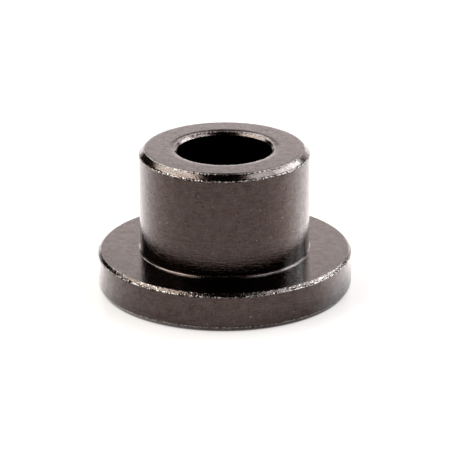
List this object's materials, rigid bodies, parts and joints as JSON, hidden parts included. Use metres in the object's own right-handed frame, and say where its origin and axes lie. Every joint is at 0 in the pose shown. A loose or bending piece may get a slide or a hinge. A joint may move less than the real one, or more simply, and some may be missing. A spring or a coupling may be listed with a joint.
{
  "type": "flanged bushing",
  "caption": "Plain flanged bushing in blackened steel: a straight body on a thick round flange, with a bore right through.",
  "frame": {"origin": "centre of the flange's underside, on the bore's axis", "axes": "+Z along the bore's axis, from the flange to the free end of the body"},
  "size_m": [0.033, 0.033, 0.0188],
  "materials": {
    "blackened_steel": "turned and blackened, satin, with bright worn edges"
  },
  "bodies": {
    "root": {"flanged_bushing": "blackened_steel"}
  },
  "joints": []
}
